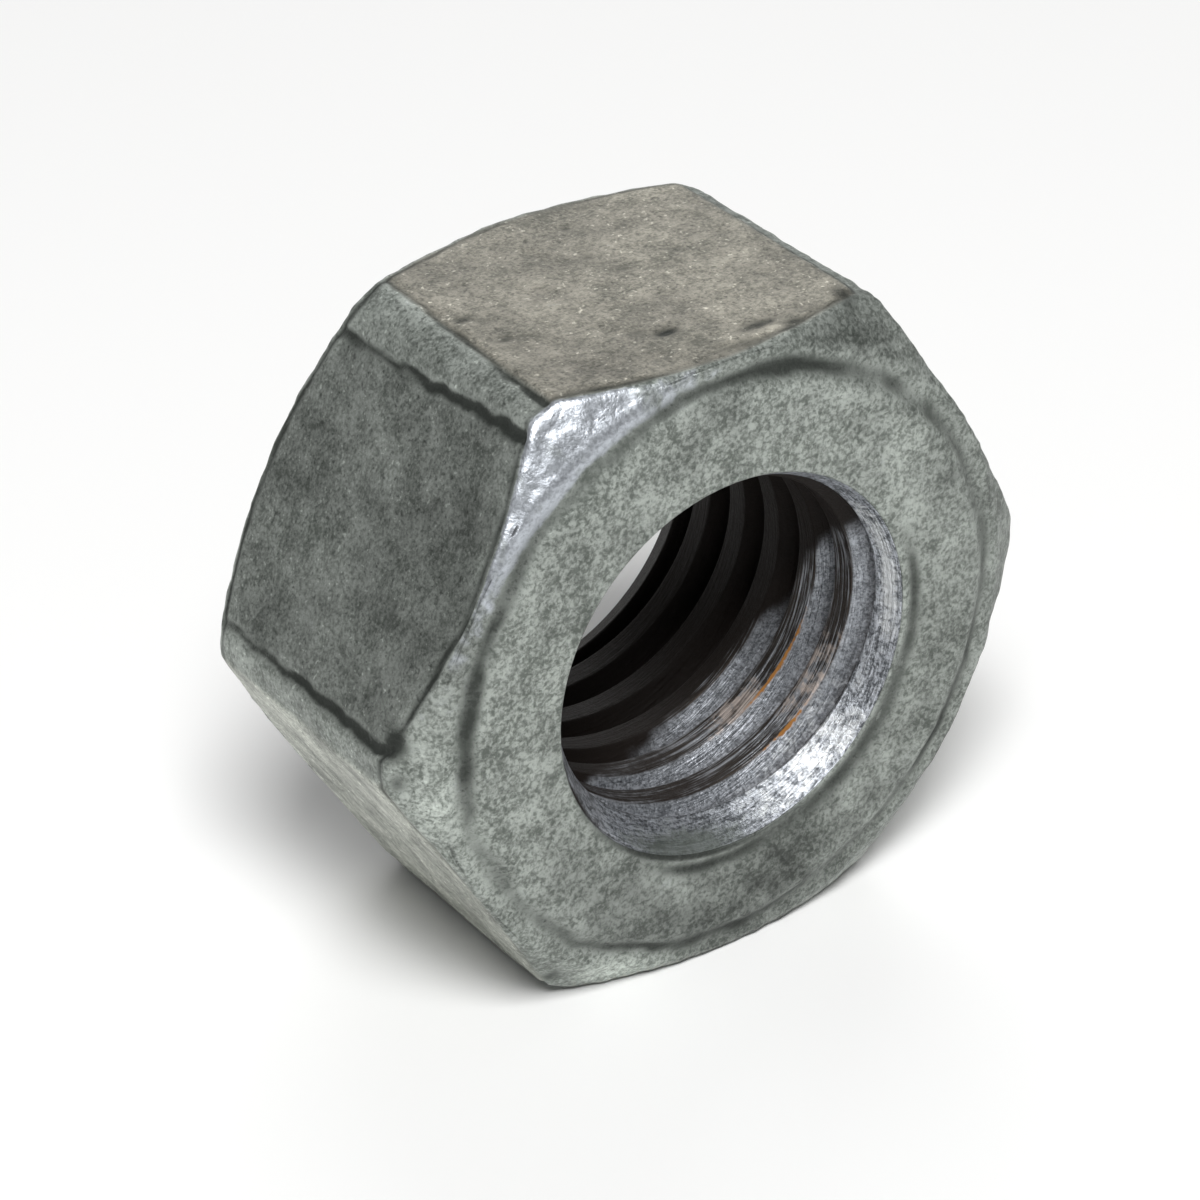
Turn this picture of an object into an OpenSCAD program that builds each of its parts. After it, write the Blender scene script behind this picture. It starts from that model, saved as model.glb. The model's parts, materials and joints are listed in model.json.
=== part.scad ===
// Hot-dip galvanised heavy hex nut for a 5/8 inch bolt, 11 threads to the inch.
// All sizes are in millimetres. The nut stands on one of its flats with its bore level: +Z is up,
// the bore runs along Y and the front face looks towards -Y. The origin is on the bore's axis,
// halfway along it.

/* [Hexagon] */
// Distance between opposite flats, over the zinc
across_flats = 26.6; // [25:0.1:34]
// Height of the nut along its bore, over the zinc
nut_height = 15.1; // [11:0.1:22]
// How much of each sharp corner the forging leaves unfilled
corner_trim = 0.35; // [0.1:0.05:1]

/* [End faces] */
// Angle between an end face and the chamfer that takes the corners off
chamfer_angle = 36; // [20:1:45]
// How far inside the flats the chamfer begins
chamfer_inset = 0.2; // [0.05:0.05:0.6]
// How far inside the flats the raised bearing face ends
face_inset = 1.3; // [1:0.05:2.5]
// How far the bearing face stands above the shoulder round it
face_raise = 0.3; // [0.1:0.05:0.6]

/* [Thread] */
// Diameter of the hole between the thread's crests
thread_crest_d = 14.4; // [13.4:0.05:17.3]
// Depth of the thread's groove, from crest to root
thread_depth = 0.85; // [0.6:0.05:1.05]
// Advance of the thread in one turn
thread_pitch = 2.309; // [1.9:0.001:2.8]
// Angle between the two flanks of the groove
thread_angle = 60; // [50:1:60]
// Angle round the bore at which the groove passes the middle of the nut
thread_turn = 150; // [0:1:359]
// Angle across the countersink at each end of the hole
countersink_angle = 60; // [50:1:100]
// How much wider the countersink's mouth is than the thread's root
countersink_over = 0.2; // [0.1:0.05:1.5]

/* [Zinc coating] */
// Thickness of the zinc on every outside surface
zinc_thickness = 0.1; // [0.06:0.01:0.2]

/* [Hidden] */
$fn = 144;

half_height = nut_height / 2;
corner_r = across_flats / 2 / cos(30) - corner_trim;
chamfer_r = across_flats / 2 - chamfer_inset;
face_r = across_flats / 2 - face_inset;
step_angle = 45;

crest_r = thread_crest_d / 2;
root_r = crest_r + thread_depth;
mouth_r = root_r + countersink_over / 2;
countersink_depth = (mouth_r - crest_r) / tan(countersink_angle / 2);
// The flat at the root of the groove is an eighth of the pitch wide
root_flat = thread_pitch / 8;

// The groove's cutter has four corners, and starts inside the crests to cut them cleanly
cutter_corners = 4;
cutter_lead = 0.3;
cutter_steps = 36;
// The cutter runs one turn past the nut at each end
cutter_turns = nut_height / thread_pitch + 2;
// The bore's seam lies a quarter of a step past the cutter's sections, so that no edge meets it end on
seam_turn = thread_turn + 90 / cutter_steps;
overrun = 1;

// One end of the turned outline, for a surface that lies `skin` under the finished one
function end_outline(skin) =
    let (
        face_edge = face_r - skin * tan(step_angle / 2),
        chamfer_edge = chamfer_r - skin * tan(chamfer_angle / 2),
        shoulder = half_height - face_raise - skin,
        rim = corner_r - skin
    )
    [
        [face_edge, half_height - skin],
        [face_edge + face_raise / tan(step_angle), shoulder],
        [chamfer_edge, shoulder],
        [rim, shoulder - (rim - chamfer_edge) * tan(chamfer_angle)]
    ];

// The same points for the other end, in the order that carries the outline on
function other_end(points) = [for (i = [len(points) - 1 : -1 : 0]) [points[i].x, -points[i].y]];

// The outside of the nut: a hexagonal prism inside its turned outline
module nut_form(skin) {
    end = end_outline(skin);
    intersection() {
        cylinder(r = (across_flats / 2 - skin) / cos(30), h = nut_height + overrun, center = true, $fn = 6);
        rotate_extrude()
            polygon(concat([[0, half_height - skin]], end, other_end(end), [[0, skin - half_height]]));
    }
}

// The tapping hole, with its countersinks carried straight on past both faces
module bore_form() {
    half = [
        [0, half_height + overrun],
        [mouth_r + overrun * tan(countersink_angle / 2), half_height + overrun],
        [crest_r, half_height - countersink_depth]
    ];
    rotate(seam_turn) rotate_extrude()
        polygon(concat(half, other_end(half)));
}

// The groove's cross-section, as points in space at one angle round the bore
function groove_section(angle) =
    let (
        inner_r = crest_r - cutter_lead,
        inner_half = root_flat / 2 + (root_r - inner_r) * tan(thread_angle / 2),
        advance = thread_pitch * (angle - thread_turn) / 360,
        section = [
            [inner_r, -inner_half], [root_r, -root_flat / 2], [root_r, root_flat / 2], [inner_r, inner_half]
        ]
    )
    [for (p = section) [p.x * cos(angle), p.x * sin(angle), advance + p.y]];

// The groove: its cross-section carried along a right-hand helix
module groove_form() {
    rings = ceil(cutter_turns * cutter_steps);
    first_angle = thread_turn - rings / 2 * 360 / cutter_steps;
    points = [for (i = [0 : rings]) each groove_section(first_angle + i * 360 / cutter_steps)];
    sides = [
        for (i = [0 : rings - 1], j = [0 : cutter_corners - 1])
            let (
                a = cutter_corners * i + j,
                b = cutter_corners * i + (j + 1) % cutter_corners
            )
            each [[a, b, b + cutter_corners], [a, b + cutter_corners, a + cutter_corners]]
    ];
    start_cap = [for (j = [cutter_corners - 1 : -1 : 0]) j];
    end_cap = [for (j = [0 : cutter_corners - 1]) cutter_corners * rings + j];
    polyhedron(points = points, faces = concat(sides, [start_cap, end_cap]));
}

// Turns a shape made about Z so that its top end looks towards -Y
module bore_level() {
    rotate([90, 0, 0]) children();
}

// The forging: chamfered, countersunk and tapped
module forged_steel_nut() {
    color("slategray") bore_level() difference() {
        nut_form(zinc_thickness);
        bore_form();
        groove_form();
    }
}

// The skin of zinc, on every surface but the hole, which was cut after dipping
module zinc_coating() {
    color("silver") bore_level() difference() {
        nut_form(0);
        nut_form(zinc_thickness);
        bore_form();
    }
}

forged_steel_nut();
zinc_coating();
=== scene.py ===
"""Looks for a hot-dip galvanised heavy hex nut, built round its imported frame.

The frame's axes: the bore runs along Y with the front face towards -Y, +Z is up and the nut stands
on one flat. Lengths are in metres; surfaces are worked out in millimetres where noise is read.
"""

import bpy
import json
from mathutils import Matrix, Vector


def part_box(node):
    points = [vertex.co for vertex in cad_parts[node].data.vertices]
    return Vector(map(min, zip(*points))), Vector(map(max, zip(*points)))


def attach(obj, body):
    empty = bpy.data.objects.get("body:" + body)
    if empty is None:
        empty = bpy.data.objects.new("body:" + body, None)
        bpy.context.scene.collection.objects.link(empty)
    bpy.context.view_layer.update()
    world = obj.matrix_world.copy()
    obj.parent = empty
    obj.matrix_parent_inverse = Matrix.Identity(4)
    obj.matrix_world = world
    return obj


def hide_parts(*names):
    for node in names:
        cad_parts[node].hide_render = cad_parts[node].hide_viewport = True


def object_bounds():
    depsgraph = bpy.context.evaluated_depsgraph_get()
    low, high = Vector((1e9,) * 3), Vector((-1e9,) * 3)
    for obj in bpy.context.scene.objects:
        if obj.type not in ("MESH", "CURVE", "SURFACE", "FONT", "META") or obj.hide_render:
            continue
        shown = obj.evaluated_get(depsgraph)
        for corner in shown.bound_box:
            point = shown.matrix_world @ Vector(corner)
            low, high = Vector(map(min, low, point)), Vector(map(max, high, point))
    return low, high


bl_info = {
    "name": "Galvanised Hex Nut",
    "version": (1, 0, 0),
    "blender": (4, 5, 0),
    "location": "3D View > Sidebar > Hex Nut",
    "description": "Builds a hex nut's zinc skin, tapped steel and studio",
    "category": "Object",
}

import itertools
import json
import math

import bpy
import numpy as np
from mathutils import Matrix, Vector

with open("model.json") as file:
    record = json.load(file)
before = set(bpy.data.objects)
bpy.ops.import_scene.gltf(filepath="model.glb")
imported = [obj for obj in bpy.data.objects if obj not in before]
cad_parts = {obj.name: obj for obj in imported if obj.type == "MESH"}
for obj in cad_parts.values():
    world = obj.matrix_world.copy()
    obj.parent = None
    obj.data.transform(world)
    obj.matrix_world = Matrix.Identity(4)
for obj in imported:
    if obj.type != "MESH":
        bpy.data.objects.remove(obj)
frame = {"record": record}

MM = 0.001
CAD_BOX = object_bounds()
COATING_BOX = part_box("zinc_coating")
THREAD = next(m for m in frame["record"]["mounts"] if m["name"] == "thread")["dims"]
SIDES = 6
TURN = 2 * math.pi
RIM = 0.1 * MM  # the coating's thickness where the countersink cut through it
COUNTERSINK_OVER = 0.1 * MM  # from the thread's root out to the countersink's mouth
STEP_ANGLE = math.radians(45)  # of the step round each bearing face
STEP_SLACK = 0.2 * MM  # how much sooner the coating starts that step; it ends it half as much later
CORNER_SOFT = 0.08 * MM  # how softly a flat turns into a corner
THREAD_SOFT = 0.05 * MM  # how softly the thread's flanks turn into its crest
CLEARANCE = 0.01 * MM  # between the steel's plain outside and the coating's inside
MERGE = 1e-4 * MM  # points closer than this are one


# ---- sizes and finishes a user may change


def length(name, text, size, **limits):
    """A length property."""
    return bpy.props.FloatProperty(
        name=name, description=text, default=size, unit="LENGTH", precision=5, **limits
    )


def angle(name, text, degrees):
    """An angle property."""
    return bpy.props.FloatProperty(
        name=name, description=text, default=math.radians(degrees), unit="ROTATION"
    )


def colour(name, text, rgb):
    """A colour property."""
    return bpy.props.FloatVectorProperty(
        name=name, description=text, default=rgb, size=3, min=0, max=1, subtype="COLOR"
    )


class NutSizes(bpy.types.PropertyGroup):
    """The nut's own measurements, over the zinc."""

    half_flats: length("Half across flats", "From the bore's axis to a flat", COATING_BOX[1].z)
    half_height: length("Half height", "From the nut's middle to a bearing face", COATING_BOX[1].y)
    corner_radius: length("Corner radius", "From the bore's axis to a corner", COATING_BOX[1].x)
    chamfer_angle: angle("Chamfer angle", "Between an end face and the chamfer", 36)
    chamfer_inset: length("Chamfer inset", "How far inside the flats the chamfer begins", 0.2 * MM)
    face_inset: length("Face inset", "How far inside the flats the bearing face ends", 1.3 * MM)
    face_raise: length("Face raise", "How far the bearing face stands above its shoulder", 0.3 * MM)
    crest_radius: length("Crest radius", "From the axis to the thread's crest", THREAD["r_mm"] * MM)
    thread_depth: length("Thread depth", "From the thread's crest to its root", 0.85 * MM)
    thread_pitch: length("Thread pitch", "How far the thread advances in a turn", 2.309 * MM)
    thread_angle: angle("Thread angle", "Between the groove's two flanks", 60)
    thread_turn: angle("Thread turn", "Where the groove passes the nut's middle", 150)
    countersink_angle: angle("Countersink angle", "Across the cone at each end of the hole", 60)


class ZincLook(bpy.types.PropertyGroup):
    """The hot-dip coating."""

    skin: length("Skin", "How deep the coating's inside lies, deeper than its dents", 0.3 * MM)
    wave: length("Wave", "Height of the slow waves in the coating", 0.05 * MM)
    grain: length("Grain", "Height of the fine lumps in the coating", 0.014 * MM)
    beaten: length("Beaten", "Height of the lumps on the chamfers and the corners", 0.055 * MM)
    crease: length("Crease", "Depth of the creases beside the corners", 0.13 * MM)
    dark: colour("Dark zinc", "The dark part of the spangle", (0.120, 0.136, 0.120))
    light: colour("Light zinc", "The light part of the spangle", (0.46, 0.495, 0.460))
    # Dross in pits and smudges; the same colour is painted as shade in the creases, along the
    # flats' edges, in the face grooves and in the front trough
    dross_and_shade: colour("Dross", "The residue in creases and pits", (0.022, 0.026, 0.022))
    # Zinc rubbed bright in patches, and a painted highlight on the front chamfer at the upper left
    # corner
    bright: colour("Bright zinc", "Zinc rubbed bright on the chamfers", (0.52, 0.55, 0.60))
    warm: colour("Warm film", "What tints the coating where it is dusty", (1.0, 0.88, 0.80))
    seed: bpy.props.IntProperty(
        name="Seed", description="Which lumps and patches the coating has", default=7
    )


class SteelLook(bpy.types.PropertyGroup):
    """The tapped and countersunk steel."""

    scratch: length("Scratch", "Depth of the cutting marks", 0.06 * MM)
    # Oiled scale, and painted shade: deep in the bore, in the thread's roots, on the lower left
    # crests and over the whole rear half
    oil_and_shade: colour("Oil", "Oiled scale deep in the bore", (0.014, 0.010, 0.008))
    dark: colour("Dark steel", "Oiled steel in the marks", (0.085, 0.092, 0.100))
    light: colour("Light steel", "Clean cut steel", (0.62, 0.65, 0.70))
    # A painted highlight: on the mouth's upper right, and before the first crest on the lower right
    painted_shine: colour("Shining steel", "Steel rubbed bright beside the mouth", (0.88, 0.90, 0.90))
    brown: colour("Brown steel", "The film on the thread's crests", (0.060, 0.050, 0.043))
    # A dry film on the first crest, and a painted highlight on the second crest on the lower right
    stain_and_highlight: colour("Stain", "Thin dry film on the first crests", (0.56, 0.48, 0.43))
    rust: colour("Rust", "Rust on the crests' edges", (0.33, 0.15, 0.04))
    film: colour("Film", "Zinc dust smeared over the cone", (0.150, 0.170, 0.150))


class StudioLook(bpy.types.PropertyGroup):
    """The floor, the lights and the camera."""

    azimuth: angle("Azimuth", "Camera's turn round the nut from the front face", -34.5)
    elevation: angle("Elevation", "Camera's height above level", 31.8)
    roll: angle("Roll", "Camera's tilt to one side", -1.25)
    distance: length("Distance", "From the camera to the nut's middle", 174.4 * MM)
    across: length("Across", "How far the camera is moved to its right", -0.883 * MM)
    upward: length("Upward", "How far the camera is moved up its own frame", -0.588 * MM)
    lens: bpy.props.FloatProperty(
        name="Lens", description="Focal length", default=133.3, min=20, subtype="DISTANCE_CAMERA"
    )
    floor: colour("Floor", "The floor and the backdrop", (0.96, 0.96, 0.955))


# ---- numpy helpers


class Lumps:
    """Smooth seeded noise: random values from -1 to 1 on a repeating cubic lattice, blended by
    t * t * (3 - 2 * t) along each axis."""

    LATTICE = 48

    def __init__(self, seed):
        self.values = np.random.default_rng(seed).uniform(-1, 1, (self.LATTICE,) * 3)

    def at(self, points, size):
        """The noise at points (..., 3), with lumps about `size` across."""
        cell = points / size
        low = np.floor(cell).astype(int)
        part = cell - low
        ease = part * part * (3 - 2 * part)
        total = np.zeros(points.shape[:-1])
        for corner in itertools.product((0, 1), repeat=3):
            index = (low + corner) % self.LATTICE
            weight = np.prod(np.where(corner, ease, 1 - ease), axis=-1)
            total += weight * self.values[index[..., 0], index[..., 1], index[..., 2]]
        return total


def bell(distance, width):
    """1 at no distance, falling off as exp(-(distance / width) squared)."""
    return np.exp(-((distance / width) ** 2))


def rise(value, low, high):
    """0 below low, 1 above high, and t * t * (3 - 2 * t) between them."""
    t = np.clip((value - low) / (high - low), 0, 1)
    return t * t * (3 - 2 * t)


def nearer(a, b, width):
    """The smaller of a and b, rounded where they differ by no more than about the width."""
    return (a + b - np.sqrt((a - b) ** 2 + width**2)) / 2


def turn_between(a, b):
    """The angle from b to a, between minus and plus half a turn."""
    return (a - b + math.pi) % TURN - math.pi


def rounded_path(corners, cuts, curve_rows, run_rows):
    """A closed path through corner points (corner, column, 2), each corner rounded by a parabola.

    A parabola starts one cut before its corner and ends one cut after it, and straight runs join
    each parabola to the next. Returns rows (row, column, 2)."""
    after = np.roll(corners, -1, axis=0) - corners
    along = after / np.maximum(np.linalg.norm(after, axis=-1, keepdims=True), 1e-12)
    starts = corners - np.roll(along, 1, axis=0) * cuts[..., None]
    ends = corners + along * cuts[..., None]
    rows = []
    for i in range(len(corners)):
        t = np.linspace(0, 1, curve_rows[i] + 1)[:, None, None]
        rows.append((1 - t) ** 2 * starts[i] + 2 * t * (1 - t) * corners[i] + t**2 * ends[i])
        t = np.linspace(0, 1, run_rows[i] + 1)[1:-1, None, None]
        rows.append((1 - t) * ends[i] + t * starts[(i + 1) % len(corners)])
    return np.concatenate(rows)


def carried_round(path, angles):
    """Points of a path (row, column, (radius, along)), with column j at angle j round the Y
    axis."""
    radius, along = path[..., 0], path[..., 1]
    return np.stack([radius * np.cos(angles), along, radius * np.sin(angles)], axis=-1)


def grid_normals(points):
    """Unit normals of a grid that closes on itself, from the rows and columns on both sides."""
    down = np.roll(points, -1, axis=0) - np.roll(points, 1, axis=0)
    right = np.roll(points, -1, axis=1) - np.roll(points, 1, axis=1)
    normals = np.cross(down, right)
    return normals / np.maximum(np.linalg.norm(normals, axis=-1, keepdims=True), 1e-15)


def wrapped_faces(rows, columns):
    """Quads of a grid that closes on itself, wound to face along the cross product of its steps to
    the next row and to the next column."""
    row, column = np.meshgrid(np.arange(rows), np.arange(columns), indexing="ij")
    below, beside = (row + 1) % rows, (column + 1) % columns
    here, next_row = row * columns, below * columns
    corners = [here + column, next_row + column, next_row + beside, here + beside]
    return np.stack(corners, axis=-1).reshape(-1, 4)


def add_object(name, data):
    """A new object in the scene."""
    made = bpy.data.objects.new(name, data)
    bpy.context.scene.collection.objects.link(made)
    return made


def make_piece(name, points, quads, attributes):
    """A mesh object from arrays. Coinciding points are merged, and faces that close up are
    dropped."""
    _, first, index = np.unique(
        np.round(points / MERGE).astype(np.int64), axis=0, return_index=True, return_inverse=True
    )
    points, quads = points[first], index.reshape(-1)[quads]
    same = quads == np.roll(quads, -1, axis=1)
    whole = same.sum(axis=1) == 0
    single = same.sum(axis=1) == 1
    order = np.argsort(same[single], axis=1, kind="stable")[:, :3]
    threes = np.take_along_axis(quads[single], np.sort(order, axis=1), axis=1)
    loops = np.concatenate([quads[whole].ravel(), threes.ravel()])
    totals = np.concatenate([np.full(whole.sum(), 4), np.full(len(threes), 3)])
    mesh = bpy.data.meshes.new(name)
    mesh.vertices.add(len(points))
    mesh.vertices.foreach_set("co", points.ravel())
    mesh.loops.add(len(loops))
    mesh.loops.foreach_set("vertex_index", loops)
    mesh.polygons.add(len(totals))
    mesh.polygons.foreach_set("loop_start", np.cumsum(totals) - totals)
    mesh.polygons.foreach_set("loop_total", totals)
    mesh.update(calc_edges=True)
    mesh.validate()
    mesh.shade_smooth()
    for key, values in attributes.items():
        layer = mesh.attributes.new(key, "FLOAT", "POINT")
        layer.data.foreach_set("value", values.reshape(-1)[first].astype(np.float32))
    return add_object(name, mesh)


# ---- the nut's surfaces


def hexagon_radius(sizes, angles, skin):
    """From the axis to the outside at each angle: half the flats over the cosine of the angle from
    the nearest flat's middle, held to the corner radius."""
    side = TURN / SIDES
    fold = angles % side - side / 2
    return nearer((sizes.half_flats - skin) / np.cos(fold), sizes.corner_radius - skin, CORNER_SOFT)


def end_corners(sizes, angles, skin):
    """Corner points of one end's outline at each angle, (corner, column, (radius, along)): the
    mouth, the bearing face's edge, the foot of its step, the chamfer's start and the chamfer's end.
    With a skin, the same outline that far under the surface."""
    slope = math.tan(sizes.chamfer_angle)
    level = sizes.half_height - sizes.face_raise - skin
    face = sizes.half_flats - sizes.face_inset - STEP_SLACK - skin * math.tan(STEP_ANGLE / 2)
    foot = face + sizes.face_raise + 1.5 * STEP_SLACK
    chamfer = sizes.half_flats - sizes.chamfer_inset - skin * math.tan(sizes.chamfer_angle / 2)
    rim = hexagon_radius(sizes, angles, skin)
    rim_depth = min(skin, RIM)
    mouth = mouth_radius(sizes) - rim_depth * math.tan(sizes.countersink_angle / 2)
    one = np.ones_like(angles)
    return np.stack([
        np.stack([mouth * one, (sizes.half_height - rim_depth) * one], axis=-1),
        np.stack([face * one, (sizes.half_height - skin) * one], axis=-1),
        np.stack([foot * one, level * one], axis=-1),
        np.stack([chamfer * one, level * one], axis=-1),
        np.stack([rim, level - (rim - chamfer) * slope], axis=-1),
    ])


def mouth_radius(sizes):
    """The countersink's mouth is a little wider than the thread's root."""
    return sizes.crest_radius + sizes.thread_depth + COUNTERSINK_OVER


def front(points):
    """An end's outline moved to the front, where along is negative."""
    return points * (1, -1)


CORNER_BAND = math.radians(5.5)  # half of what each corner's closer columns span
FLAT_COLUMNS, CORNER_COLUMNS = 53, 20


def corner_spread():
    """Angles round the nut, closer together across each corner than across the flats between
    them."""
    side = TURN / SIDES
    middle = np.linspace(CORNER_BAND, side - CORNER_BAND, FLAT_COLUMNS, endpoint=False)
    corner = np.linspace(-CORNER_BAND, CORNER_BAND, CORNER_COLUMNS, endpoint=False)
    one_side = np.concatenate([corner, middle])
    return (np.arange(SIDES)[:, None] * side + one_side).ravel()


# the marks below are placed by their turn round the bore, in degrees from +X towards +Z
CORNERS = (
    # (turn, middle of the beaten band, half its width at the front and at the rear in mm, strength
    # of the crease at its lower and at its higher turn)
    (0, 0.0, 0.60, 0.62, 0.5, 0.5),
    (60, -0.1, 0.50, 0.40, 0.4, 1.0),
    (120, 0.41, 0.62, 1.36, 1.0, 1.6),
    (180, -0.3, 0.70, 0.75, 1.3, 0.35),
    (240, 0.1, 0.50, 0.60, 0.6, 0.5),
    (300, 0.0, 0.55, 0.45, 0.8, 0.6),
)
FLATS = (
    # (turn, how much paler or darker, mostly painted light and shade on that side, how dusty)
    (90, -0.20, 1.0),
    (150, -0.33, 0.0),
    (210, 0.30, 0.35),
    (270, -0.1, 0.3),
    (330, -0.05, 0.15),
    (30, -0.08, 0.1),
)
SPOTS = (
    # (turn, along, half width round, half width along, height, darkness) on the outside, in mm; a
    # negative darkness clears what lies there
    (92.7, -4.1, 0.50, 0.28, -0.14, 1.1),
    (96.5, -3.5, 0.34, 0.16, -0.05, 0.6),
    (79.8, -5.7, 1.1, 0.28, -0.07, 0.8),
    (74.5, -6.3, 0.6, 0.25, -0.06, 0.75),
    (64.2, -5.6, 0.5, 0.7, -0.05, 0.8),
    (113.5, -1.0, 0.34, 0.2, -0.05, 0.7),
    (115.0, 1.2, 0.4, 0.3, -0.05, 0.65),
    (88.0, 2.6, 0.26, 0.3, -0.06, 0.6),
    (174.6, -5.9, 0.62, 0.5, -0.10, 1.4),
    (176.2, -5.0, 0.3, 0.7, -0.05, 0.9),
    (180.2, -6.9, 0.28, 0.24, 0.12, -0.3),
    (181.0, -6.2, 0.5, 0.25, -0.06, 0.55),
    (235.5, -6.3, 0.45, 0.5, -0.05, 0.6),
    (86.0, -6.5, 1.2, 0.16, -0.05, 0.65),
    (158.0, -3.0, 0.5, 0.16, -0.05, 0.5),
    (154.5, -1.9, 0.4, 0.14, -0.05, 0.45),
)
PALE = (
    # (turn, radius, half width round, half width across, how much paler or darker) on the front, in
    # mm
    (248, 13.6, 2.3, 1.0, 1.05),
    (184, 13.5, 1.6, 1.0, 0.50),
    (196, 12.4, 1.6, 0.9, 0.25),
    (181, 12.2, 0.9, 0.3, -0.5),
    (203, 12.0, 1.4, 0.35, -0.4),
    (265, 11.0, 7.0, 3.2, -0.52),
    (310, 11.0, 7.5, 3.4, -0.20),
    (8, 11.8, 6.5, 3.2, -0.22),
    (62, 13.6, 4.0, 1.4, -0.25),
    (152, 13.3, 3.6, 1.0, -0.45),
)


# one end's outline: how far each corner's curve reaches along its sides, the rows in each curve,
# and the rows in each straight run after it, from the mouth to the rim
END_CUTS = tuple(reach * MM for reach in (0.08, 0.34, 0.32, 0.34, 0.42))
END_CURVES = (2, 4, 4, 3, 6)
END_RUNS = (24, 1, 1, 13)
FLAT_RUN = 76
CHAMFER_SHARE = 0.45  # of the chamfer that a curve may take
RIM_ROWS = 4  # over which the relief fades out towards a mouth


def zinc_surface(sizes, zinc):
    """The coating as a closed skin: its outline carried round the bore, then pushed along its
    normals by its relief. Returns points, quads and the finish's masks."""
    angles = corner_spread()
    outer = end_corners(sizes, angles, 0)
    inner = end_corners(sizes, angles, zinc.skin)
    corners = np.concatenate([front(outer), outer[::-1], inner, front(inner)[::-1]])
    chamfer = np.linalg.norm(outer[4] - outer[3], axis=-1)
    outer_corners = 2 * len(outer)
    cut = np.zeros(corners.shape[:2])
    for i, reach in enumerate(END_CUTS):
        limited = reach if i < 3 else np.minimum(reach, CHAMFER_SHARE * chamfer)
        cut[i] = cut[outer_corners - 1 - i] = limited
    curve_rows = [*END_CURVES, *END_CURVES[::-1]] + [0] * outer_corners
    run_rows = [*END_RUNS, FLAT_RUN, *END_RUNS[::-1]] + [1] * (outer_corners + 1)
    path = rounded_path(corners, cut, curve_rows, run_rows)
    outside = sum(curve_rows) + sum(run_rows[: outer_corners - 1]) + 1
    points = carried_round(path, angles)
    normals = grid_normals(points)
    relief = ZincRelief(sizes, zinc, points, normals, path, angles)
    height = relief.height * MM
    height[outside:] = 0
    from_mouth = np.minimum(np.arange(outside), np.arange(outside)[::-1])
    height[:outside] *= np.clip(from_mouth / RIM_ROWS, 0, 1)[:, None]
    low, high = (np.array(corner) for corner in COATING_BOX)
    points = np.clip(points + normals * height[..., None], low, high)
    return points, wrapped_faces(*path.shape[:2]), relief.masks()


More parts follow.
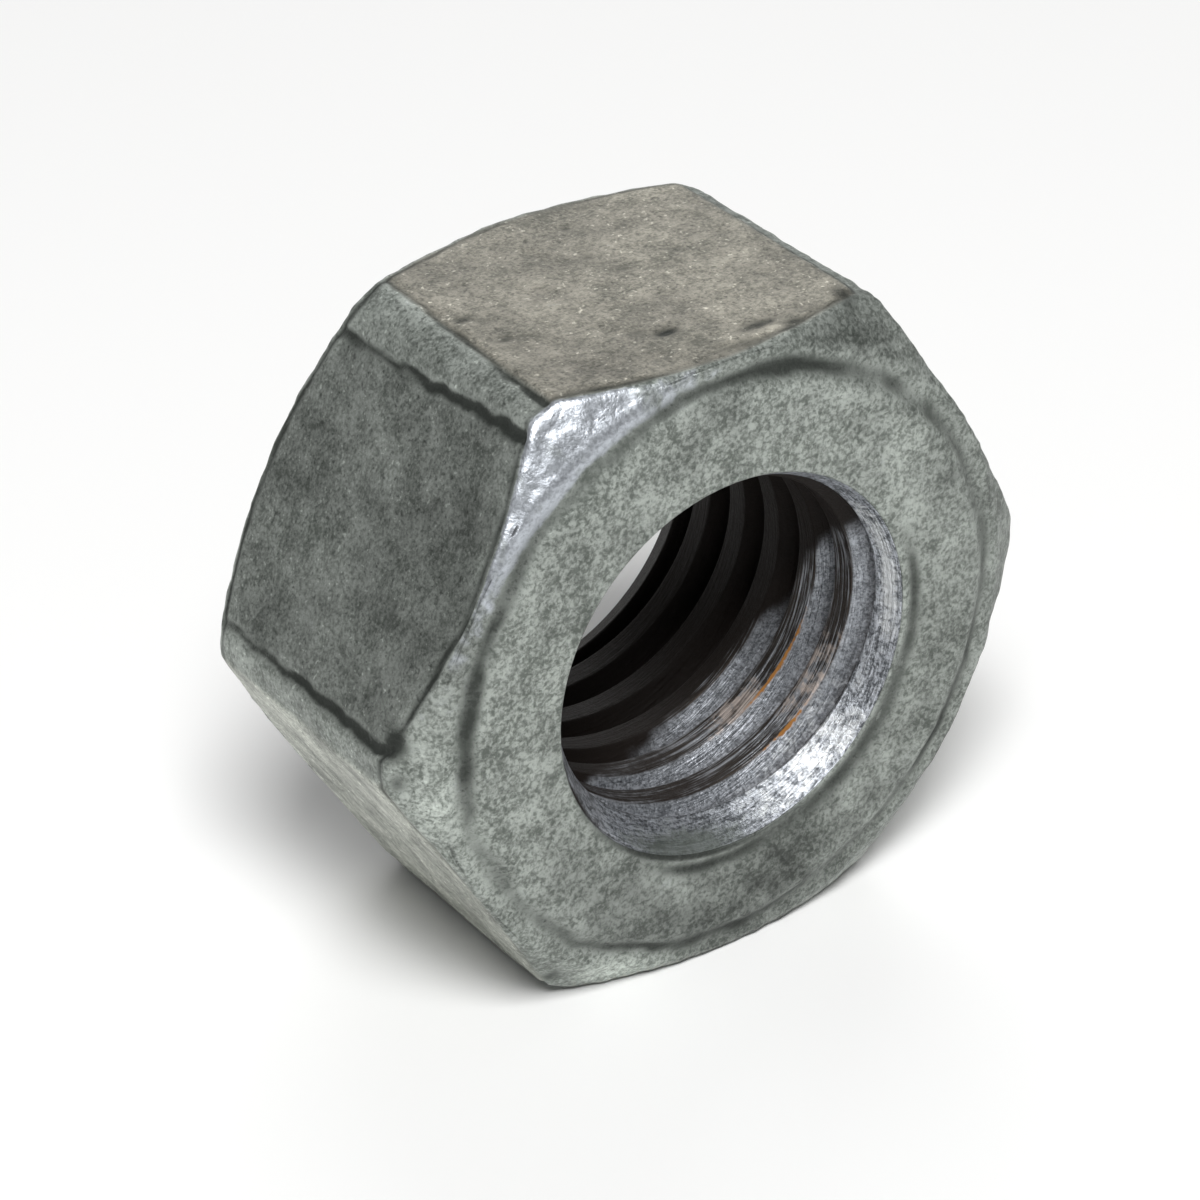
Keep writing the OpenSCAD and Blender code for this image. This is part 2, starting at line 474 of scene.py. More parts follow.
class ZincRelief:
    """How far the coating stands proud of its plain outline, in millimetres, and what its material
    reads.

    Each feature is a bell or a rise of the distance to the line or spot that it follows, and its
    line wanders by slow noise. Flat, chamfer and face shares come from how far the normal leans to
    Y."""

    EDGE_DEPTH = 0.05  # of the line where a flat meets the chamfer
    CHIP_DEPTH = 0.06  # of the ragged bites along that line
    GROOVE_DEPTH = 0.07  # of the groove round a bearing face
    TROUGH_DEPTH = 0.09  # of the trough outside the front mouth
    POCK_DEPTH = 0.035  # of the pocks scattered on the flats
    GROOVE_OUT = 0.3  # from a bearing face's edge to the groove's middle

    def __init__(self, sizes, zinc, points, normals, path, angles):
        self.sizes, self.zinc = sizes, zinc
        self.lumps = Lumps(zinc.seed)
        self.mm = points / MM
        self.radius, self.along = path[..., 0] / MM, path[..., 1] / MM
        self.turn = np.broadcast_to(angles, self.radius.shape)
        self.half_height, self.half_flats = sizes.half_height / MM, sizes.half_flats / MM
        self.mouth = mouth_radius(sizes) / MM
        self.ring = self.half_flats - sizes.face_inset / MM + self.GROOVE_OUT
        self.past_edge = self._past_edge()

        lean = np.abs(normals[..., 1])
        self.on_flat = 1 - rise(lean, 0.15, 0.5)
        self.on_face = rise(lean, 0.9, 0.99)
        self.on_shoulder = (1 - self.on_flat) * rise(self.radius, self.ring + 0.05, self.ring + 0.4)
        self.at_front = rise(-self.along, 0, 1)

        self.slow = self.noise(0, 2.6)
        self.slower = self.noise(31, 5.2)
        self.middling = self.noise(57, 0.95)
        self.knobs = self.noise(23, 0.62) + 0.5 * self.noise(47, 0.4)

        self.height = zinc.wave / MM * (0.55 * self.slow + 0.35 * self.middling - 0.5)
        self.height += zinc.grain / MM * (self.noise(11, 0.36) - 1)
        self.dark = np.zeros_like(self.height)
        self.band = np.zeros_like(self.height)
        self.add_corner_bands()
        self.add_flat_edges()
        self.add_face_grooves()
        self.add_front_lip()
        self.add_spots()

    def noise(self, shift, size):
        """Lumps about `size` millimetres across; each shift gives other ones."""
        return self.lumps.at(self.mm + shift, size)

    def lengthwise(self, shift, size):
        """Lumps that change only along the nut's length."""
        return self.lumps.at(self.mm * (0, 1, 0) + np.array(shift), size)

    def swing(self, degrees):
        """How far round the bore each point stands from a turn, from -180 to 180 degrees."""
        return np.degrees(turn_between(self.turn, math.radians(degrees)))

    def arc(self, degrees):
        """The same distance in millimetres, measured round the bore."""
        return turn_between(self.turn, math.radians(degrees)) * self.radius

    def darken(self, amount):
        """Residue and painted shade are as dark as the darkest feature that leaves them."""
        self.dark = np.maximum(self.dark, amount)

    def _past_edge(self):
        """How far from the chamfer's lower edge each point stands, towards the nut's middle."""
        level = self.half_height - self.sizes.face_raise / MM
        chamfer_start = self.half_flats - self.sizes.chamfer_inset / MM
        edge = level - (self.radius - chamfer_start) * math.tan(self.sizes.chamfer_angle)
        return edge - np.abs(self.along)

    def add_corner_bands(self):
        """Each corner's beaten band, with a crease on both of its sides, darkened by residue and
        painted shade.
        """
        on_flat, knobs = self.on_flat, self.knobs
        rearward = (self.along + self.half_height) / (2 * self.half_height)
        ripple = self.lengthwise([3.3, 0, 7.7], 0.7)
        for degrees, middle, front_half, rear_half, lower, higher in CORNERS:
            off = self.arc(degrees) - middle
            half = front_half + (rear_half - front_half) * rearward
            inside = 1 - rise(np.abs(off), half - 0.1, half + 0.1)
            self.band = np.maximum(self.band, inside)
            for side, strength in ((-1, lower), (1, higher)):
                wander = self.lengthwise([degrees * 0.7, 0, side * 9.1], 1.7)
                gap = side * off - half - 0.14 * wander - 0.10 * ripple - 0.07 * knobs
                patchy = 0.75 + 0.45 * self.lengthwise([degrees, 0, side], 1.9)
                patchy = strength * np.clip(patchy, 0.25, 1.2) * (1.15 - 0.5 * rearward)
                width = 0.10 + 0.09 * np.clip(patchy, 0, 1.5)
                self.height -= self.zinc.crease / MM * on_flat * patchy * bell(gap, width + 0.04)
                # dross and painted shade along the crease
                self.darken(on_flat * patchy * bell(gap, width))
        beaten = self.band * on_flat * 0.7 + self.on_shoulder
        self.height += self.zinc.beaten / MM * beaten * (knobs - 0.3)

    def add_flat_edges(self):
        """The soft line of painted shade where each flat meets the chamfer, darkest on the left,
        and its ragged bites."""
        wander = 0.12 * self.noise(77, 1.3) + 0.04 * self.knobs
        line = bell(self.past_edge - 0.24 - wander, 0.2) * self.on_flat
        self.height -= self.EDGE_DEPTH * line
        # painted shade along the line, strongest on the left
        clear = 0.5 + 0.4 * bell(self.swing(152), 34) + 0.3 * self.slower + 0.25 * self.middling
        self.darken(line * np.clip(clear, 0.1, 1))
        bites = np.clip(self.noise(61, 1.2) + 0.3 * self.knobs, 0, 1)
        self.height -= self.CHIP_DEPTH * bell(self.past_edge, 0.5) * bites

    def add_face_grooves(self):
        """The groove round each bearing face, where the coating drew thin over the step, with
        painted shade in it: clearest at the top, at the bottom and on the left, and softest on the
        lower left."""
        wander = 0.17 * self.noise(5, 2.2) + 0.08 * self.noise(9, 0.8) + 0.05 * self.knobs
        from_top = self.swing(80)
        clear = 0.42 + 0.4 * bell(from_top, 34) + 0.25 * bell(np.abs(from_top) - 165, 24)
        clear = clear + 0.35 * self.slower + 0.25 * self.middling
        clear += 0.35 * bell(self.swing(158), 26)
        low_left = bell(turn_between(self.turn, math.radians(215)), 0.7)
        soft = 0.24 + 0.2 * np.clip(self.slow + 0.4, 0, 1) + 0.14 * low_left
        groove = bell(self.radius - self.ring - wander, soft) * (1 - self.on_flat)
        self.height -= self.GROOVE_DEPTH * groove
        # painted shade in the groove
        self.darken(groove * np.clip(clear, 0.2, 0.95))

    def add_front_lip(self):
        """The shallow trough outside the front mouth, broadest on the lower right, with painted
        shade in it, and the residue smeared over the mouth's lower left."""
        swing = self.swing(-50)
        lip = (1 - rise(np.abs(swing), 50, 85)) * self.at_front * self.on_face
        wander = 0.1 * self.noise(71, 1.6)
        broad = 0.30 + 0.22 * bell(swing, 38)
        trough = bell(self.radius - self.mouth - 0.55 - wander, broad) * lip
        self.height -= self.TROUGH_DEPTH * trough
        # painted shade in the trough
        self.darken(0.66 * trough * (0.85 + 0.4 * self.slow + 0.2 * self.middling))
        smear = bell(self.radius - self.mouth - 0.02, 0.2) * bell(self.swing(-110), 40)
        self.darken(0.85 * (smear * self.at_front * (1 - self.on_flat)))

    def add_spots(self):
        """Pits, dents and a bubble at their places, and pocks anywhere on the flats."""
        for degrees, y, wide, long, rising, darkness in SPOTS:
            round_it = self.arc(degrees) + 0.06 * self.knobs
            spot = bell(np.hypot(round_it / wide, (self.along - y) / long), 1) * (1 - self.on_face)
            self.height += rising * spot
            cleared = max(-darkness, 0) * spot * self.dark
            self.darken(darkness * spot)
            self.dark -= cleared
        pocks = rise(self.noise(91, 0.75), 0.5, 0.8) * self.on_flat
        self.height -= self.POCK_DEPTH * pocks

    def masks(self):
        """What the material reads: residue and painted shade, zinc that rubbing made bright with a
        painted highlight on the front chamfer, how light with painted light and shade on each flat,
        how dusty, and how much of a face."""
        swing = self.swing(120)
        # rubbed zinc and a painted highlight on the front chamfer at the upper left corner
        worn_and_highlit = self.on_shoulder * self.at_front * bell(swing, np.where(swing > 0, 34, 24))
        on_chamfer = np.clip(1 - self.on_flat - self.on_face, 0, 1)
        tone_and_light, warm = self.tones()
        return {
            "dross_and_shade": np.clip(self.dark, 0, 1.2),
            "worn_and_highlit": np.clip(worn_and_highlit, 0, 1),
            "tone_and_light": tone_and_light,
            "warm": warm,
            "face": np.clip(self.on_face + on_chamfer * 0.6, 0, 1),
        }

    def tones(self):
        """How much paler or darker, and how dusty: each flat gets painted light and shade for its
        side, with some lightness of its own, and a film of dust; its edges are paler in places
        where rubbing wore them, and the front has pale patches and broad darker ones towards its
        bottom, its right and parts of its rim."""
        on_flat, past, knobs, middling = self.on_flat, self.past_edge, self.knobs, self.middling
        tone_and_light, warm = 0.13 * self.slow + 0.12 * middling, np.zeros_like(self.height)
        lightened = np.clip(self.noise(37, 1.1) + 0.2 * knobs, 0, 1)
        tone_and_light += 0.35 * on_flat * bell(past - 0.62, 0.22) * lightened
        for degrees, side_light_and_tone, dusty in FLATS:
            away = np.abs(turn_between(self.turn, math.radians(degrees)))
            near = (1 - rise(away, math.radians(27), math.radians(29))) * (1 - self.band)
            near *= on_flat * rise(past, 0, 0.3)
            # painted light and shade for the flat's side, with some lightness of its own
            tone_and_light += near * (side_light_and_tone + max(side_light_and_tone, 0) * (1.1 * middling + 0.6 * knobs))
            warm += near * dusty
        for degrees, radius, wide, across, paler in PALE:
            spot = bell(self.arc(degrees) / wide, 1) * bell((self.radius - radius) / across, 1)
            tone_and_light += paler * spot * self.at_front * (1 - on_flat) * (0.9 + 0.35 * knobs)
        tone_and_light -= 0.1 * self.band * on_flat
        return tone_and_light, warm


def cone_radius(sizes, along):
    """The countersinks' cones: from the mouth's radius, less the depth times tan(half the
    angle)."""
    depth = sizes.half_height - np.abs(along)
    return mouth_radius(sizes) - depth * math.tan(sizes.countersink_angle / 2)


def root_half(sizes):
    """Half the width of the flat at the groove's root, which is an eighth of the pitch wide."""
    return sizes.thread_pitch / 16


def bore_radius(sizes, turn, along):
    """From the axis to the bore's wall: the thread's crest, or its groove where the distance along
    the axis from the groove's middle is small, or the countersink's cone where that is wider.

    From its root's flat, the groove's flanks lean out by half the thread's angle."""
    pitch = sizes.thread_pitch
    middle = -pitch * (turn - sizes.thread_turn) / TURN
    off = np.abs((along - middle + pitch / 2) % pitch - pitch / 2)
    lean = math.tan(sizes.thread_angle / 2)
    root_radius = sizes.crest_radius + sizes.thread_depth
    groove = root_radius - np.maximum(off - root_half(sizes), 0) / lean
    groove = np.minimum(groove, root_radius)
    wall = -nearer(-groove, -sizes.crest_radius * np.ones_like(groove), THREAD_SOFT)
    return -nearer(-wall, -cone_radius(sizes, along), THREAD_SOFT)


def thread_steps(sizes):
    """How far along the axis each row stands within one pitch, closer together where the thread
    turns: groups of evenly spaced rows over the root, the near flank, the crest's land and the far
    flank."""
    pitch, root, soft = sizes.thread_pitch, root_half(sizes), THREAD_SOFT
    flank = sizes.thread_depth * math.tan(sizes.thread_angle / 2)
    marks = [
        -root, root, root + soft, root + flank - soft, root + flank + soft,
        pitch - root - flank - soft, pitch - root - flank + soft, pitch - root - soft, pitch - root,
    ]
    counts = [3, 1, 5, 3, 11, 3, 7, 1]
    runs = [np.linspace(a, b, n, endpoint=False) for a, b, n in zip(marks, marks[1:], counts)]
    return np.concatenate(runs)


STEEL_COLUMNS = 324


def steel_surface(sizes, skin):
    """The steel as one closed surface. The bore's rows follow the thread's helix: column j's rows
    all stand pitch * angle / turn further back, so edges run along rows, and the last column joins
    the first one a pitch further on. Rows past either end are gathered at that end's mouth. The
    plain outside lies a skin's depth under the coating's surface. Returns points, quads and the
    finish's masks."""
    angles = np.arange(STEEL_COLUMNS) / STEEL_COLUMNS * TURN
    pitch = sizes.thread_pitch
    steps = thread_steps(sizes)
    end = sizes.half_height - RIM
    turns = math.ceil(2 * end / pitch) + 3
    along = (np.arange(turns)[:, None] * pitch + steps).ravel() - (turns // 2) * pitch
    along = along[:, None] - pitch * (angles - sizes.thread_turn) / TURN
    inside = np.clip(along, -end, end)
    radius = bore_radius(sizes, angles, inside)
    radius = np.where(np.abs(along) >= end, cone_radius(sizes, end), radius)
    bore = np.stack([radius, inside], axis=-1)
    outer = end_corners(sizes, angles, skin + CLEARANCE)[1:]
    path = np.concatenate([bore, outer, front(outer)[::-1]])
    quads = helical_faces(len(path), len(bore), len(steps))
    bore_masks = dress_bore(sizes, angles, along, inside, radius)
    masks = {name: np.zeros(path.shape[:2]) for name in bore_masks}
    for name, values in bore_masks.items():
        masks[name][: len(bore)] = values
    return carried_round(path, angles), quads, masks


def helical_faces(rows, bore_rows, rows_per_pitch):
    """Quads of a grid that closes on itself in both directions, but whose first rows, the bore's,
    move on by one pitch where the last column meets the first."""
    order = np.arange(rows)
    row, column = np.meshgrid(order, np.arange(STEEL_COLUMNS), indexing="ij")
    met = np.where(order < bore_rows, np.clip(order - rows_per_pitch, 0, bore_rows - 1), order)
    below = (row + 1) % rows
    beside = (column + 1) % STEEL_COLUMNS
    at_seam = column == STEEL_COLUMNS - 1
    near_row = np.where(at_seam, met[row], row)
    near_below = np.where(at_seam, met[below], below)
    corners = [
        row * STEEL_COLUMNS + column, near_row * STEEL_COLUMNS + beside,
        near_below * STEEL_COLUMNS + beside, below * STEEL_COLUMNS + column,
    ]
    return np.stack(corners, axis=-1).reshape(-1, 4)


LIGHT_AND_WEAR_TURN = -60  # degrees; round this turn the front of the bore is rusty, and the painted highlights and the least painted shade lie there
FIRST_CREST = 3.7  # the first crest lies less deep than this there, in mm
SECOND_CREST = 6.4  # and the second one less deep than this


def dress_bore(sizes, angles, along, inside, radius):
    """What the steel's material reads at the bore's points, from how deep they lie under the face
    that is nearer, where they stand on the thread, and how far round from the wear's middle."""
    pitch = sizes.thread_pitch
    lead = math.tan(sizes.thread_angle / 2) * sizes.thread_depth + root_half(sizes)
    phase = (along + pitch * (angles - sizes.thread_turn) / TURN) % pitch
    depth = (sizes.half_height - np.abs(inside)) / MM
    swing = np.degrees(turn_between(angles, math.radians(LIGHT_AND_WEAR_TURN)))
    at_front = inside < 0
    on_first = depth < FIRST_CREST
    cone = 1 - rise((radius - cone_radius(sizes, inside)) / MM, 0.02, 0.08)
    land = (1 - rise((radius - sizes.crest_radius) / MM, 0.03, 0.12)) * (1 - cone)
    edge = bell((phase - lead) / MM, 0.08) * (1 - cone)

    # painted shade, with some oil, in the groove's root, along each crest's rear edge and on the
    # lower left crests
    root = bell((np.minimum(phase, pitch - phase)) / MM, 0.26)
    shaded_and_oily = np.maximum(root, bell((phase - pitch + lead) / MM, 0.13)) * (1 - cone)
    shaded_and_oily = np.maximum(shaded_and_oily, 0.95 * land * rise(-swing, 8, 30))

    # the first two crests are rusty over part of a turn; the first is stained, and the second gets
    # a painted highlight on the lower right
    rust_first = bell(swing - 6, 13) + 0.4 * bell(swing - 45, 22)
    rust_second = bell(swing - 22, 24)
    rusted = np.where(on_first, rust_first, rust_second)
    rusted = rusted * (1 - rise(depth, 5.6, SECOND_CREST)) * at_front
    stained_and_highlit = np.where(on_first, bell(swing - 24, 19), 1.15 * bell(swing - 2, 13))
    stained_and_highlit = stained_and_highlit * (depth < SECOND_CREST) * at_front

    # oil and painted shade darken the bore further in, less so on the lower right, and darken the
    # whole rear half; the cone is darker on its lower left, most at the mouth there, and dust is
    # smeared on the lower left
    reach = 7.4 - 2.6 * np.abs(swing / 60) ** 2
    clean_and_lit = (1 - rise(np.abs(swing), 60, 105)) * (1 - rise(depth, reach - 0.8, reach + 0.9))
    filmed = 1 - 0.5 * rise(-swing, 18, 55) - 0.7 * bell(depth - 0.1, 0.25) * bell(swing + 55, 34)
    clean_and_lit = np.where(at_front, np.maximum(clean_and_lit, cone * filmed), 0.1 * cone)
    smeared = cone * bell(swing + 48, 27) * (1 - 0.6 * rise(depth, 0.5, 1.3)) * at_front

    # painted highlights on the mouth's upper right, and on everything before the first crest on the
    # lower right
    painted_highlight = bell(depth - 0.55, 0.4) * rise(swing, 32, 56) * (1 - rise(swing, 88, 110))
    before_crest = rise(depth, 0.05, 0.3) * (1 - rise(depth, 2.3, 2.7)) * at_front
    lightened = 0.74 * bell(swing - 6, 33) * before_crest
    painted_highlight = np.maximum(cone * painted_highlight, lightened * (1 - land) * (0.75 + 0.25 * cone))
    return {
        "cone": cone, "land": land, "edge": edge, "shaded_and_oily": shaded_and_oily, "clean_and_lit": clean_and_lit, "rusted": rusted,
        "stained_and_highlit": stained_and_highlit, "painted_highlight": painted_highlight, "smeared": smeared,
    }


# ---- materials


def math_operators(operation):
    """A Wire's operator that adds a Math node, and the same one with its two sides swapped."""
    def node(wire, *sides):
        return wire.paint.node("ShaderNodeMath", {"operation": operation}, sides)

    return lambda wire, other: node(wire, wire, other), lambda wire, other: node(wire, other, wire)


class Wire:
    """A shader socket whose operators add Math nodes."""

    __add__, __radd__ = math_operators("ADD")
    __sub__, __rsub__ = math_operators("SUBTRACT")
    __mul__, __rmul__ = math_operators("MULTIPLY")

    def __init__(self, paint, socket):
        self.paint, self.socket = paint, socket


class Paint:
    """A material's node tree, built through one method."""

    def __init__(self, name):
        self.material = bpy.data.materials.new(name)
        self.material.use_nodes = True
        self.tree = self.material.node_tree
        self.tree.nodes.clear()

    def node(self, kind, settings=None, inputs=None, output=0):
        """Adds a node. Inputs are values or Wires, by position or by socket name. Returns the
        wanted output as a Wire."""
        made = self.tree.nodes.new(kind)
        for key, value in (settings or {}).items():
            setattr(made, key, value)
        pairs = inputs.items() if isinstance(inputs, dict) else enumerate(inputs or [])
        for key, value in pairs:
            if isinstance(value, Wire):
                self.tree.links.new(value.socket, made.inputs[key])
            elif value is not None:
                made.inputs[key].default_value = value
        return Wire(self, made.outputs[output]) if made.outputs else None

    def vector(self, operation, inputs, output=0):
        """A sum on vectors."""
        return self.node("ShaderNodeVectorMath", {"operation": operation}, inputs, output)

    def place(self):
        """Object coordinates in millimetres."""
        coordinates = self.node("ShaderNodeTexCoord", output="Object")
        return self.vector("SCALE", {0: coordinates, "Scale": 1 / MM})

    def moved(self, place, *shift):
        """A place shifted along its axes, so that noise read there is another one."""
        return self.node("ShaderNodeMapping", {}, {"Vector": place, "Location": shift})

    def noise(self, place, size, detail=2.0, roughness=0.5, twist=0.0):
        """Noise from 0 to 1 with lumps about `size` millimetres across."""
        return self.node("ShaderNodeTexNoise", {}, {
            "Vector": place, "Scale": 1 / size,
            "Detail": detail, "Roughness": roughness, "Distortion": twist,
        })

    def between(self, value, low, high, start=0.0, end=1.0):
        """A value mapped smoothly from low..high to start..end."""
        return self.node("ShaderNodeMapRange", {"interpolation_type": "SMOOTHSTEP"}, {
            "Value": value, "From Min": low, "From Max": high, "To Min": start, "To Max": end,
        })

    def masks(self, *names):
        """Masks kept on the mesh."""
        kind = "ShaderNodeAttribute"
        return [self.node(kind, {"attribute_name": name}, output="Fac") for name in names]

    def blend(self, factor, a, b, kind="MIX"):
        """Two colours mixed by a factor."""
        made = {"data_type": "RGBA", "blend_type": kind, "clamp_factor": True}
        a, b = (c if isinstance(c, Wire) else (*c, 1) for c in (a, b))
        return self.node("ShaderNodeMix", made, {0: factor, 6: a, 7: b}, output=2)

    def scaled(self, colour, factor):
        """A colour times a factor."""
        colour = colour if isinstance(colour, Wire) else tuple(colour)
        return self.vector("SCALE", {0: colour, "Scale": factor})

    def bump(self, height, distance, strength=1.0, normal=None):
        """A normal from a height in 0..1 that stands `distance` millimetres."""
        return self.node("ShaderNodeBump", {}, {
            "Strength": strength, "Distance": distance * MM, "Height": height, "Normal": normal,
        })

    def finish(self, **sockets):
        """The surface's shader and the output."""
        inputs = {name.replace("_", " "): value for name, value in sockets.items()}
        surface = self.node("ShaderNodeBsdfPrincipled", {}, inputs)
        self.node("ShaderNodeOutputMaterial", {}, [surface])
        return self.material


def zinc_material(zinc):
    """Weathered hot-dip zinc: a soft dark and light spangle over slow patches, fine specks on the
    flats, dark residue and painted shade in the creases, grooves and troughs, bright metal where
    rubbing wore it with a painted highlight on the front chamfer's upper left, painted light and
    shade on each flat, and dusty film."""
    p = Paint("galvanised_zinc")
    place = p.place()
    grain = p.noise(place, 0.13, 2.0, 0.6)
    spots = p.noise(p.moved(place, 3, 8, 2), 0.21, 3.0, 0.62, 0.4)
    blotch = p.noise(p.moved(place, 7, 3, 5), 0.85, 3.0, 0.6, 0.5)
    patch = p.noise(p.moved(place, 2, 9, 4), 2.8, 2.0, 0.5)
    specks = p.noise(p.moved(place, 5, 1, 6), 0.22, 1.0, 0.5)
    face, tone_and_light, worn_and_highlit, dross_and_shade, warm = p.masks("face", "tone_and_light", "worn_and_highlit", "dross_and_shade", "warm")
    spangle = p.between(spots * 0.58 + grain * 0.27 + blotch * 0.15, 0.35, 0.65)
    speckle = p.between(grain * 0.4 + spots * 0.4 + blotch * 0.2, 0.30, 0.70)
    mottle = speckle + (spangle - speckle) * face
    light = p.between(mottle * 0.70 + (patch - 0.5) * 0.6 + (blotch - 0.5) * 0.40 + 0.13, 0.0, 1.0)
    base = p.blend(light, zinc.dark, zinc.light)
    base = p.blend(warm, base, zinc.warm, "MULTIPLY")
    pits = p.between(specks + (grain - 0.5) * 0.3, 0.36, 0.28) * (1 - face * 0.6)
    glints = p.between(specks + (grain - 0.5) * 0.3, 0.68, 0.76) * (1 - face)
    # the lightness mask brings painted light and shade on each flat
    base = p.scaled(base, (1 + tone_and_light) * (1 - pits * 0.35) * (1 + glints * 0.6))
    # bright zinc where rubbed, and a painted highlight on the front chamfer at the upper left
    # corner
    lightened = p.between(worn_and_highlit * 1.25 + (blotch - 0.5) * 1.7 + (patch - 0.5) * 0.9, 0.35, 1.1)
    base = p.blend(lightened * 0.85, base, p.scaled(zinc.bright, 0.72 + mottle * 0.5))
    # dross, and painted shade in the creases, along the flats' edges, in the grooves and in the
    # trough
    residue_and_shade = p.between(dross_and_shade + (grain - 0.5) * 0.5 + (spots - 0.5) * 0.8, 0.12, 0.9)
    base = p.blend(residue_and_shade * 0.93, base, zinc.dross_and_shade)
    rough = 0.52 + (grain - 0.5) * 0.25 - lightened * 0.08 + residue_and_shade * 0.12 - glints * 0.2
    relief = p.bump((grain * 0.45 + spots * 0.55) * (1 - lightened * 0.5), 0.05, 0.9)
    relief = p.bump(blotch, 0.08, 0.8, relief)
    return p.finish(Base_Color=base, Metallic=0.55 + lightened * 0.35, Roughness=rough, Normal=relief)


def steel_material(steel):
    """Cut steel: marks that run round the bore, a dark oily film and painted shade deeper in, in
    the roots and over the rear half, painted highlights beside the mouth and on the second crest,
    rough blue-grey flanks, and rust on the front edges of the crests. The marks come from noise
    read at the distance from the axis and along it, which change fast, and at the direction from
    the axis, which changes slowly and has no seam."""
    p = Paint("tapped_steel")
    place = p.place()
    across = p.vector("MULTIPLY", [place, (1, 0, 1)])
    radius = p.vector("LENGTH", [across], output="Value")
    depth = p.node("ShaderNodeSeparateXYZ", {}, [place], output="Y")
    fast = p.node("ShaderNodeCombineXYZ", {}, [radius * 5.0, depth * 9.0, radius * 5.0])
    around = p.vector("MULTIPLY_ADD", [across, (0.3, 0.0, 0.3), fast])
    marks = p.noise(around, 1.0, 4.0, 0.65, 0.2)
    short = p.vector("MULTIPLY_ADD", [across, (1.5, 0.0, 1.5), fast])
    strokes = p.noise(short, 1.2, 3.0, 0.65, 0.6)
    grain = p.noise(place, 0.11, 3.0, 0.65)
    chips = p.noise(p.moved(place, 4, 1, 8), 0.34, 3.0, 0.65, 0.6)
    blotch = p.noise(place, 0.9, 3.0, 0.6)
    cone, land, edge, shaded_and_oily = p.masks("cone", "land", "edge", "shaded_and_oily")
    clean_and_lit, rusted, stained_and_highlit = p.masks("clean_and_lit", "rusted", "stained_and_highlit")
    painted_highlight, smeared = p.masks("painted_highlight", "smeared")
    # how clear the steel is of oil and painted shade
    clear = p.between(clean_and_lit + (blotch - 0.5) * 0.5, 0.2, 0.8)
    flank = p.between(grain * 0.6 + chips * 0.4, 0.36, 0.66, 0.3, 0.9)
    ridges = p.between(marks * 0.85 + blotch * 0.15, 0.42, 0.62, 0.0, 1.1)
    cut = p.between(strokes * 0.35 + chips * 0.3 + grain * 0.35, 0.40, 0.62, 0.18, 1.05)
    lit = flank + (ridges - flank) * land
    lit = lit + (cut - lit) * cone
    base = p.blend(p.between(lit, 0.0, 1.0), steel.dark, steel.light)
    # painted highlights on the mouth's upper right and before the first crest on the lower right
    bright = p.between(painted_highlight + (chips - 0.5) * 1.5 + (blotch - 0.5) * 1.3, 0.35, 1.1)
    base = p.blend(bright * 0.68, base, steel.painted_shine)
    base = p.blend(land * (1 - ridges * 0.7), base, steel.brown)
    # the stain on the first crest, and a painted highlight on the second crest
    stain_and_highlight = p.between(stained_and_highlit * 0.8 + (blotch - 0.5) * 2.2 + (chips - 0.5) * 1.2, 0.5, 0.95) * land
    base = p.blend(stain_and_highlight * (0.35 + ridges * 0.6), base, steel.stain_and_highlight)
    rusty = p.between(edge * rusted + (chips - 0.5) * 1.1 + (blotch - 0.5) * 0.6, 0.5, 0.85)
    base = p.blend(rusty, base, steel.rust)
    film = p.between(smeared + (chips - 0.5) * 0.9 + (blotch - 0.5) * 0.7, 0.25, 0.9)
    base = p.blend(film * 0.85, base, p.scaled(steel.film, 0.6 + chips * 0.8))
    # painted shade, with some oil, in the roots, along the crests' rear edges and on the lower left
    # crests
    clear = clear * (1 - shaded_and_oily * 0.95 * p.between(chips, 0.7, 0.4, 0.7, 1.0))
    # oil and painted shade where the steel isn't clear
    base = p.blend(clear, steel.oil_and_shade, base)
    relief = p.bump(marks, steel.scratch / MM, 0.9)
    relief = p.bump(strokes * 0.35 + grain * 0.3 + chips * 0.35, 0.09, 0.9, relief)
    return p.finish(
        Base_Color=base,
        Metallic=clear * (0.9 - rusty * 0.7 - stain_and_highlight * 0.3 - film * 0.3),
        Roughness=0.42 + (grain - 0.5) * 0.3 + rusty * 0.3 + stain_and_highlight * 0.15 + (1 - clear) * 0.15,
        Specular_IOR_Level=0.2,
        Normal=relief,
    )


def stage_material(studio):
    """Plain matt paper."""
    return Paint("pale_paper").finish(Base_Color=(*studio.floor, 1), Roughness=0.9)


# ---- operators


class NUT_OT_zinc_skin(bpy.types.Operator):
    """Builds the zinc coating with its waves, creases and pits"""

    bl_idname = "nut.zinc_skin"
    bl_label = "Zinc skin"

    def execute(self, context):
        scene = context.scene
        points, quads, finish = zinc_surface(scene.nut_sizes, scene.nut_zinc)
        piece = make_piece("zinc_skin", points.reshape(-1, 3), quads, finish)
        piece.data.materials.append(zinc_material(scene.nut_zinc))
        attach(piece, "root")
        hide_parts("zinc_coating")
        return {"FINISHED"}


class NUT_OT_tapped_steel(bpy.types.Operator):
    """Builds the forging with its helical thread and countersinks"""

    bl_idname = "nut.tapped_steel"
    bl_label = "Tapped steel"

    def execute(self, context):
        scene = context.scene
        points, quads, finish = steel_surface(scene.nut_sizes, scene.nut_zinc.skin)
        piece = make_piece("tapped_steel", points.reshape(-1, 3), quads, finish)
        piece.data.materials.append(steel_material(scene.nut_steel))
        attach(piece, "root")
        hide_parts("forged_steel_nut")
        return {"FINISHED"}


class NUT_OT_studio(bpy.types.Operator):
    """Sets up the floor, the backdrop, the lights and the camera"""

    bl_idname = "nut.studio"
    bl_label = "Studio"

    def execute(self, context):
        scene = context.scene
        studio = scene.nut_studio
        set_floor(studio)
        set_lights(scene, studio)
        set_camera(scene, studio)
        scene.view_settings.view_transform = "Standard"
        return {"FINISHED"}


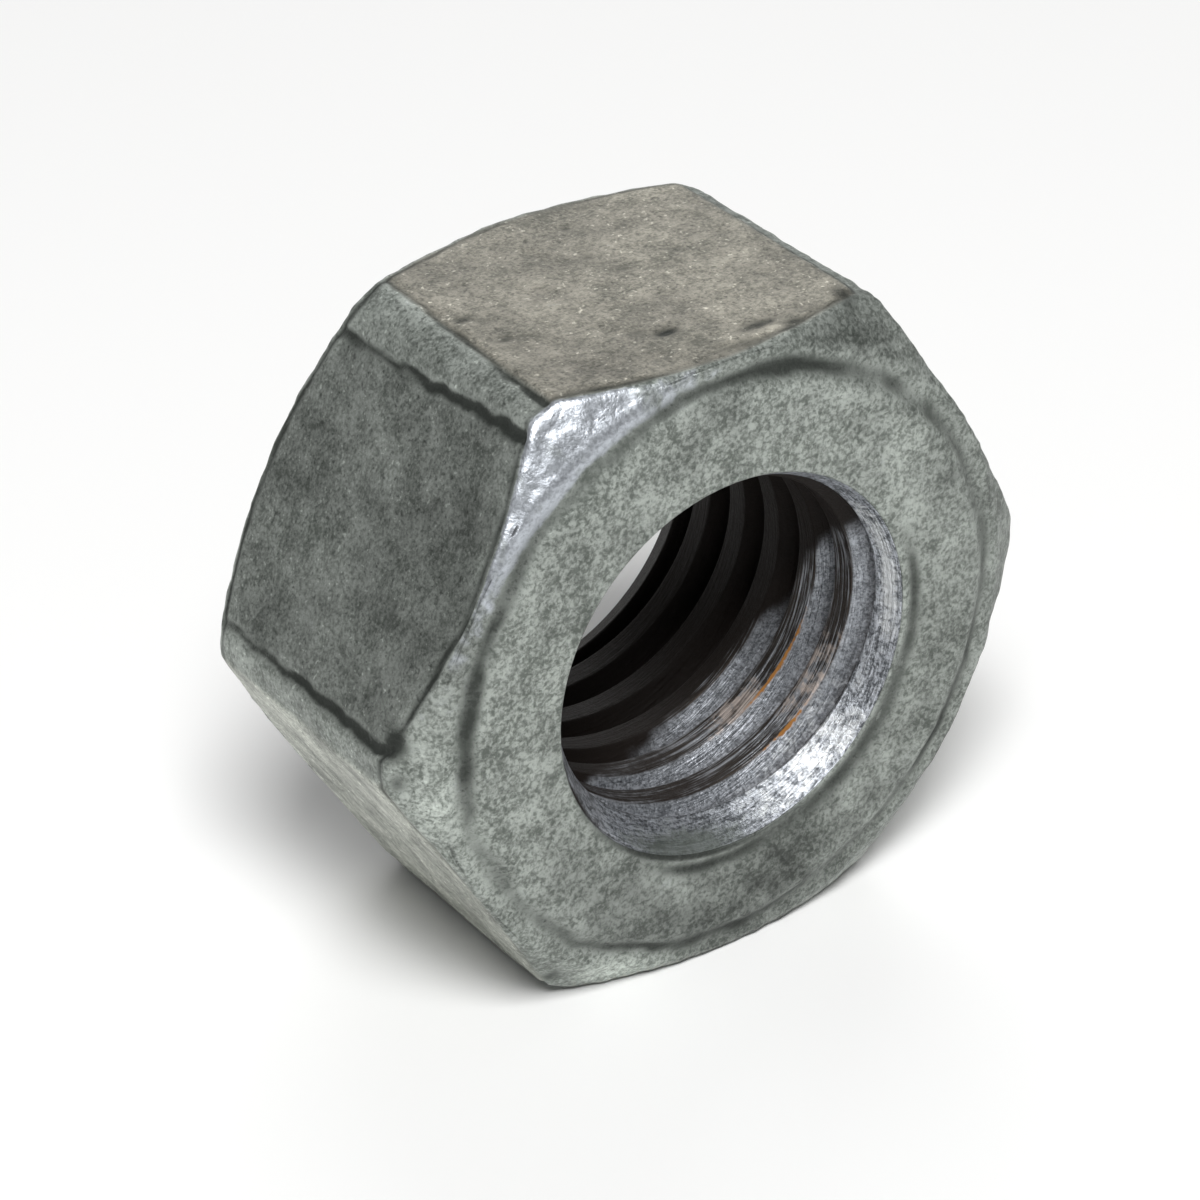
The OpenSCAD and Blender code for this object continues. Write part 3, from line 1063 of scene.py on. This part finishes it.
FLOOR_HALF = 2.5
AIR_STRENGTH = 0.16
LIGHTS = (
    # (name, direction, distance and width in metres, watts)
    ("key_light", (-0.28, -0.47, 0.84), 0.6, 0.22, 3.6),
    ("sky_light", (0.48, 0.70, 0.53), 0.7, 0.5, 1.5),
)


def set_floor(studio):
    """A square floor under the nut's lowest flat."""
    half, level = FLOOR_HALF, CAD_BOX[0][2]
    mesh = bpy.data.meshes.new("floor")
    corners = [(x * half, y * half, level) for x, y in ((-1, -1), (1, -1), (1, 1), (-1, 1))]
    mesh.from_pydata(corners, [], [(0, 1, 2, 3)])
    mesh.materials.append(stage_material(studio))
    floor = add_object("floor", mesh)


def area_light(name, towards, distance, size, watts):
    """A square soft light that faces the nut from the given direction."""
    data = bpy.data.lights.new(name, "AREA")
    data.shape, data.size, data.energy = "SQUARE", size, watts
    direction = Vector(towards).normalized()
    light = add_object(name, data)
    light.location = direction * distance
    light.rotation_euler = direction.to_track_quat("Z", "Y").to_euler()


def set_lights(scene, studio):
    """A small soft light from the upper front left, a larger and weaker one from the upper rear
    right, and pale air all round."""
    for light in LIGHTS:
        area_light(*light)
    world = bpy.data.worlds.new("studio_air")
    world.use_nodes = True
    air = world.node_tree.nodes["Background"].inputs
    air["Color"].default_value = (*studio.floor, 1)
    air["Strength"].default_value = AIR_STRENGTH
    scene.world = world


def set_camera(scene, studio):
    """A camera on a sphere round the nut, moved a little in its own plane and rolled about its own
    axis."""
    turn, lift, roll = studio.azimuth, studio.elevation, studio.roll
    level = math.cos(lift)
    back = Vector((math.sin(turn) * level, -math.cos(turn) * level, math.sin(lift)))
    right = Vector((math.cos(turn), math.sin(turn), 0))
    up = back.cross(right)
    place = back * studio.distance + right * studio.across + up * studio.upward
    right, up = (
        right * math.cos(roll) + up * math.sin(roll), up * math.cos(roll) - right * math.sin(roll)
    )
    data = bpy.data.cameras.new("camera")
    data.lens, data.sensor_width, data.clip_start = studio.lens, 36, 0.01
    scene.camera = add_object("camera", data)
    axes = Matrix((right, up, back)).transposed().to_4x4()
    scene.camera.matrix_world = Matrix.Translation(place) @ axes


class NUT_PT_panel(bpy.types.Panel):
    """Lists the nut's pieces and their settings"""

    bl_idname = "NUT_PT_panel"
    bl_label = "Hex Nut"
    bl_space_type = "VIEW_3D"
    bl_region_type = "UI"
    bl_category = "Hex Nut"

    def draw(self, context):
        for name, (_, operator) in GROUPS.items():
            box = self.layout.box()
            settings = getattr(context.scene, name)
            for key in settings.__annotations__:
                box.prop(settings, key)
            if operator:
                box.operator(operator.bl_idname)


GROUPS = {
    # each group's name on the scene: (its class, the operator that its button runs)
    "nut_sizes": (NutSizes, None),
    "nut_zinc": (ZincLook, NUT_OT_zinc_skin),
    "nut_steel": (SteelLook, NUT_OT_tapped_steel),
    "nut_studio": (StudioLook, NUT_OT_studio),
}
CLASSES = (*(made for pair in GROUPS.values() for made in pair if made), NUT_PT_panel)


def register():
    """Adds the classes, and each group of settings to the scene."""
    for made in CLASSES:
        bpy.utils.register_class(made)
    for name, (group, _) in GROUPS.items():
        setattr(bpy.types.Scene, name, bpy.props.PointerProperty(type=group))


def unregister():
    """Takes the settings and the classes away again."""
    for name in GROUPS:
        delattr(bpy.types.Scene, name)
    for made in reversed(CLASSES):
        bpy.utils.unregister_class(made)


def main():
    """Builds the nut and its studio."""
    register()
    bpy.ops.nut.zinc_skin()
    bpy.ops.nut.tapped_steel()
    bpy.ops.nut.studio()


if __name__ == "__main__":
    main()
